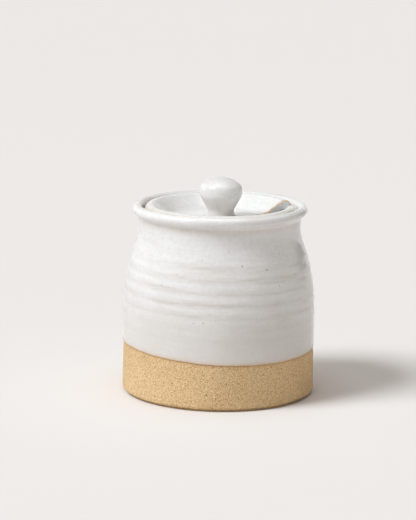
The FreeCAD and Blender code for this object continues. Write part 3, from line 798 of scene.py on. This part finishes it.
class HONEYPOT_OT_lid(bpy.types.Operator):
    """Turn the sunk lid with its knob, and cut the notch for a dipper's handle"""
    bl_idname = "honeypot.lid"
    bl_label = "Lid"

    def profile(self, s):
        """Return the lid's profile from its underside to the top of its knob."""
        floor = s.seat_height + s.crest_height - s.dish_depth
        under = floor - s.wall
        crest_centre = (s.radius - s.crest_radius, s.seat_height + s.crest_height - s.crest_radius)
        slope = s.dish_slope
        crest_side = on_circle(crest_centre, s.crest_radius, math.pi / 2 + slope)
        dish_side_z = floor + s.dish_corner * (1 - math.cos(slope))
        dish_side_x = crest_side[0] - (crest_side[1] - dish_side_z) / math.tan(slope)
        dish_centre = (dish_side_x - s.dish_corner * math.sin(slope), floor + s.dish_corner)
        under_side_z = under + s.under_corner * (1 - math.cos(slope))
        under_side = (s.plug_radius - (s.seat_height - under_side_z) / math.tan(slope),
                      under_side_z)
        under_centre = on_circle(under_side, s.under_corner, math.pi / 2 + slope)
        seat_outer_x = crest_centre[0] + math.sqrt(
            s.crest_radius ** 2 - (crest_centre[1] - s.seat_height) ** 2)
        knob_side_top = floor + s.knob_height - s.knob_rise
        edge_top = (s.knob_radius - s.knob_edge, knob_side_top)
        edge_foot = (s.knob_radius - s.knob_edge, knob_side_top - s.knob_side)
        dome = (edge_top[0] ** 2 + s.knob_rise ** 2 - s.knob_edge ** 2) / (
            2 * (s.knob_rise - s.knob_edge))
        dome_centre = (0, floor + s.knob_height - dome)
        foot_centre = (s.knob_neck + s.knob_foot, floor + s.knob_foot)
        gap = (foot_centre[0] - edge_foot[0], foot_centre[1] - edge_foot[1])
        taper = (math.asin((s.knob_edge + s.knob_foot) / math.hypot(*gap))
                 - math.atan2(gap[0], -gap[1]))
        step = 0.5 * MM
        return (straight((0, under), (under_centre[0], under), 4 * step)
                + arc(under_centre, s.under_corner, -math.pi / 2, slope - math.pi / 2, 2 * step)
                + straight(under_side, (s.plug_radius, s.seat_height), 2 * step)
                + straight((s.plug_radius, s.seat_height), (seat_outer_x, s.seat_height), step)
                + arc(crest_centre, s.crest_radius,
                      heading(crest_centre, (seat_outer_x, s.seat_height)),
                      math.pi / 2 + slope, step)
                + straight(crest_side, (dish_side_x, dish_side_z), step)
                + arc(dish_centre, s.dish_corner, slope - math.pi / 2, -math.pi / 2, step)
                + straight((dish_centre[0], floor), (foot_centre[0], floor), 2 * step)
                + arc(foot_centre, s.knob_foot, -math.pi / 2, -math.pi - taper, step)
                + straight(on_circle(foot_centre, s.knob_foot, math.pi - taper),
                           on_circle(edge_foot, s.knob_edge, -taper), step)
                + arc(edge_foot, s.knob_edge, -taper, 0, step)
                + straight((s.knob_radius, edge_foot[1]), (s.knob_radius, edge_top[1]), step)
                + arc(edge_top, s.knob_edge, 0, heading(dome_centre, edge_top), step)
                + arc(dome_centre, dome, heading(dome_centre, edge_top), math.pi / 2, step))

    def notch(self, s):
        """Return the radius of the notch's round end, and how far out its middle lies."""
        radius = s.notch_width / 2
        return radius, s.radius - s.notch_depth + radius

    def cutter(self, s):
        """Return a U-shaped block that stands through the lid at the notch."""
        radius, centre = self.notch(s)
        deselect()
        bpy.ops.mesh.primitive_cylinder_add(
            vertices=96, radius=radius, depth=40 * MM, location=(0, 0, 0))
        block = bpy.context.object
        bpy.ops.object.mode_set(mode="EDIT")
        bpy.ops.mesh.select_all(action="DESELECT")
        bpy.ops.object.mode_set(mode="OBJECT")
        for vertex in block.data.vertices:
            vertex.select = vertex.co.x > MERGE
        bpy.ops.object.mode_set(mode="EDIT")
        bpy.ops.transform.translate(value=(20 * MM, 0, 0))
        bpy.ops.object.mode_set(mode="OBJECT")
        block.location = (centre * math.cos(s.notch_turn), centre * math.sin(s.notch_turn),
                          s.seat_height)
        block.rotation_euler = (0, 0, s.notch_turn)
        bpy.ops.object.transform_apply(location=True, rotation=True, scale=True)
        return block

    def execute(self, context):
        s, look = settings("lid_sizes"), settings("glaze_look")
        pot = PotProfile(settings("pot_sizes"))
        piece = turned("lid_glaze", self.profile(s), LID_STEPS)
        block = self.cutter(s)
        select_only(piece)
        cut = piece.modifiers.new("notch", "BOOLEAN")
        cut.operation = "DIFFERENCE"
        cut.solver = "EXACT"
        cut.object = block
        bpy.ops.object.modifier_apply(modifier=cut.name)
        bpy.data.objects.remove(block)
        remesh = piece.modifiers.new("even", "REMESH")
        remesh.mode = "VOXEL"
        remesh.voxel_size = s.grain
        bpy.ops.object.modifier_apply(modifier=remesh.name)
        soften = piece.modifiers.new("soften", "SMOOTH")
        soften.factor = 0.5
        soften.iterations = 6
        bpy.ops.object.modifier_apply(modifier=soften.name)
        bpy.ops.object.mode_set(mode="EDIT")
        bpy.ops.mesh.select_all(action="SELECT")
        bpy.ops.transform.translate(value=(s.shift, 0, 0))
        bpy.ops.object.mode_set(mode="OBJECT")

        radius, centre = self.notch(s)
        cos, sin = math.cos(s.notch_turn), math.sin(s.notch_turn)

        def from_notch(co):
            """Return the distance in plan from the notch's wall, and across its middle."""
            along = (co.x - s.shift) * cos + co.y * sin - centre
            across = co.y * cos - (co.x - s.shift) * sin
            near = math.hypot(along, across) if along < 0 else abs(across)
            return near - radius, across

        def thin_and_shade(co, normal):
            away, across = from_notch(co)
            edge = 1 - smooth(0.5 * MM, 1.4 * MM, abs(away))
            edge *= smooth(0.05, 0.3, normal.z) * (1 - smooth(0.93, 0.995, normal.z))
            edge *= 0.35 + 0.65 * smooth(0, 3 * MM, across)
            rim = smooth(s.radius - 2.6 * MM, s.radius - 0.3 * MM,
                         math.hypot(co.x - s.shift, co.y))
            return max(edge, 0.4 * rim)

        mark(piece, "thin_glaze_and_shade", thin_and_shade)
        # Glaze gathers in the dish, and painted light: the dish is whiter.
        mark(piece, "pooled_and_lit", lambda co, normal: smooth(8 * MM, 13 * MM, co.xy.length))
        knob = s.seat_height + s.crest_height - s.dish_depth + s.knob_height - s.knob_rise
        # Painted shade on the knob's lower half, under its widest part.
        mark(piece, "low", lambda co, normal: (1 - smooth(9 * MM, 13 * MM, co.xy.length))
             * (1 - smooth(knob - 4 * MM, knob + 2 * MM, co.z)))
        finish_piece(piece, white_glaze(look, pot), "lid")
        return {"FINISHED"}


class HONEYPOT_OT_stage(bpy.types.Operator):
    """Set the pale floor, the soft lights and the camera"""
    bl_idname = "honeypot.stage"
    bl_label = "Stage"

    def near_light(self, look):
        """Add the small square light near the pot."""
        bpy.ops.object.light_add(type="AREA", location=look.near_place)
        lamp = bpy.context.object
        lamp.name = "near"
        lamp.data.shape = "RECTANGLE"
        lamp.data.size = lamp.data.size_y = look.near_size
        lamp.data.energy = look.near_power
        lamp.data.color = look.near_colour
        way = Vector(look.near_aim) - Vector(look.near_place)
        lamp.rotation_euler = way.to_track_quat("-Z", "Y").to_euler()

    def key_light(self, look):
        """Add the wide, soft key light that reaches the whole floor alike."""
        bpy.ops.object.light_add(type="SUN", location=(-2, -1, 3))
        lamp = bpy.context.object
        lamp.name = "key"
        lamp.data.energy = look.key_power
        lamp.data.angle = look.key_width
        lamp.data.color = look.key_colour
        side, rise = look.key_side, look.key_rise
        towards = Vector((math.sin(side) * math.cos(rise), -math.cos(side) * math.cos(rise),
                          math.sin(rise)))
        lamp.rotation_euler = towards.to_track_quat("Z", "Y").to_euler()

    def studio(self, context, look):
        """Light the room: pale walls with a dark gap, dim above, a soft light overhead."""
        world = bpy.data.worlds.new("studio")
        context.scene.world = world
        world.use_nodes = True
        tree = world.node_tree
        new, link = tree.nodes.new, tree.links.new

        def ramp(source, *stops):
            node = new("ShaderNodeValToRGB")
            node.color_ramp.interpolation = "EASE"
            while len(node.color_ramp.elements) < len(stops):
                node.color_ramp.elements.new(0.5)
            for element, (position, tint) in zip(node.color_ramp.elements, stops):
                element.position = position
                element.color = (*tint, 1)
            link(source, node.inputs["Fac"])
            return node.outputs["Color"]

        def scaled(share):
            return tuple(share / look.overhead * c for c in look.sky_colour)

        background = tree.nodes["Background"]
        background.inputs["Strength"].default_value = look.overhead
        plain = new("ShaderNodeBackground")
        plain.inputs["Color"].default_value = (*look.floor_colour, 1)
        coordinates = new("ShaderNodeTexCoord")
        split = new("ShaderNodeSeparateXYZ")
        link(coordinates.outputs["Generated"], split.inputs[0])
        room = ramp(split.outputs["Z"],
                    (WALLS_END, scaled(look.walls)), (UPPER_START, scaled(look.upper)),
                    (UPPER_END, scaled(look.upper)), (OVERHEAD_START, scaled(look.overhead)))
        dot = new("ShaderNodeVectorMath")
        dot.operation = "DOT_PRODUCT"
        gap = look.gap_side
        dot.inputs[1].default_value = (math.sin(gap), -math.cos(gap), 0)
        link(coordinates.outputs["Generated"], dot.inputs[0])
        open_part = ramp(dot.outputs["Value"],
                         (GAP_EDGE[0], (1, 1, 1)), (GAP_EDGE[1], (GAP_SHADE,) * 3))
        both = new("ShaderNodeMix")
        both.data_type = "RGBA"
        both.blend_type = "MULTIPLY"
        both.inputs[0].default_value = 1
        link(room, both.inputs[MIX_FIRST])
        link(open_part, both.inputs[MIX_SECOND])
        link(both.outputs[MIX_RESULT], background.inputs["Color"])
        ways = new("ShaderNodeLightPath")
        choose = new("ShaderNodeMixShader")
        link(ways.outputs["Is Camera Ray"], choose.inputs[0])
        link(background.outputs[0], choose.inputs[1])
        link(plain.outputs[0], choose.inputs[2])
        link(choose.outputs[0], tree.nodes["World Output"].inputs["Surface"])

    def execute(self, context):
        look = settings("stage_look")
        deselect()
        bpy.ops.mesh.primitive_circle_add(
            vertices=128, radius=look.floor_radius, fill_type="NGON")
        floor = bpy.context.object
        floor.name = "floor"
        bpy.ops.object.mode_set(mode="EDIT")
        bpy.ops.mesh.select_all(action="SELECT")
        bpy.ops.mesh.inset(thickness=look.floor_radius - look.floor_middle)
        bpy.ops.object.mode_set(mode="OBJECT")
        n = Nodes("pale_floor")
        soft = n.steps(n.noise(3), (0.3, 0.97), (0.7, 1.0))
        n.link(n.mix(soft, tuple(0.97 * c for c in look.floor_colour),
                     tuple(look.floor_colour)), n.shader.inputs["Base Color"])
        n.shader.inputs["Roughness"].default_value = 0.9
        n.shader.inputs["Specular IOR Level"].default_value = 0.1
        floor.data.materials.append(n.material)

        self.key_light(look)
        self.near_light(look)
        self.studio(context, look)
        bpy.ops.object.camera_add(location=(0, -look.camera_away, look.camera_up))
        camera = context.object
        camera.name = "camera"
        camera.data.lens = look.lens
        camera.data.sensor_width = 36
        camera.data.clip_end = 30
        aim = Euler((math.pi / 2 - look.pitch, 0, look.yaw)).to_matrix()
        camera.rotation_euler = (aim @ Matrix.Rotation(look.roll, 3, "Z")).to_euler()
        context.scene.camera = camera
        context.scene.view_settings.view_transform = "Standard"
        return {"FINISHED"}


class HONEYPOT_PT_panel(bpy.types.Panel):
    """Lists the pieces of the honey pot"""
    bl_idname = "HONEYPOT_PT_panel"
    bl_label = "Honey pot"
    bl_space_type = "VIEW_3D"
    bl_region_type = "UI"
    bl_category = "Honey pot"

    def draw(self, context):
        for operator in OPERATORS:
            self.layout.operator(operator.bl_idname)
        for name, group in GROUPS.items():
            box = self.layout.box()
            box.label(text=group.__doc__)
            for key in group.__annotations__:
                box.prop(getattr(context.scene, name), key)


GROUPS = {
    "pot_sizes": PotSizes,
    "lid_sizes": LidSizes,
    "glaze_look": GlazeLook,
    "clay_look": ClayLook,
    "stage_look": StageLook,
}
OPERATORS = (HONEYPOT_OT_clay, HONEYPOT_OT_glaze, HONEYPOT_OT_lid, HONEYPOT_OT_stage)


def register():
    """Register the groups, the operators and the panel."""
    for name, group in GROUPS.items():
        bpy.utils.register_class(group)
        setattr(bpy.types.Scene, name, bpy.props.PointerProperty(type=group))
    for cls in (*OPERATORS, HONEYPOT_PT_panel):
        bpy.utils.register_class(cls)


def unregister():
    """Take back what register did."""
    for cls in (HONEYPOT_PT_panel, *reversed(OPERATORS)):
        bpy.utils.unregister_class(cls)
    for name, group in reversed(GROUPS.items()):
        delattr(bpy.types.Scene, name)
        bpy.utils.unregister_class(group)


def main():
    """Make the pieces and the stage."""
    register()
    bpy.ops.honeypot.clay()
    bpy.ops.honeypot.glaze()
    bpy.ops.honeypot.lid()
    bpy.ops.honeypot.stage()


if __name__ == "__main__":
    main()
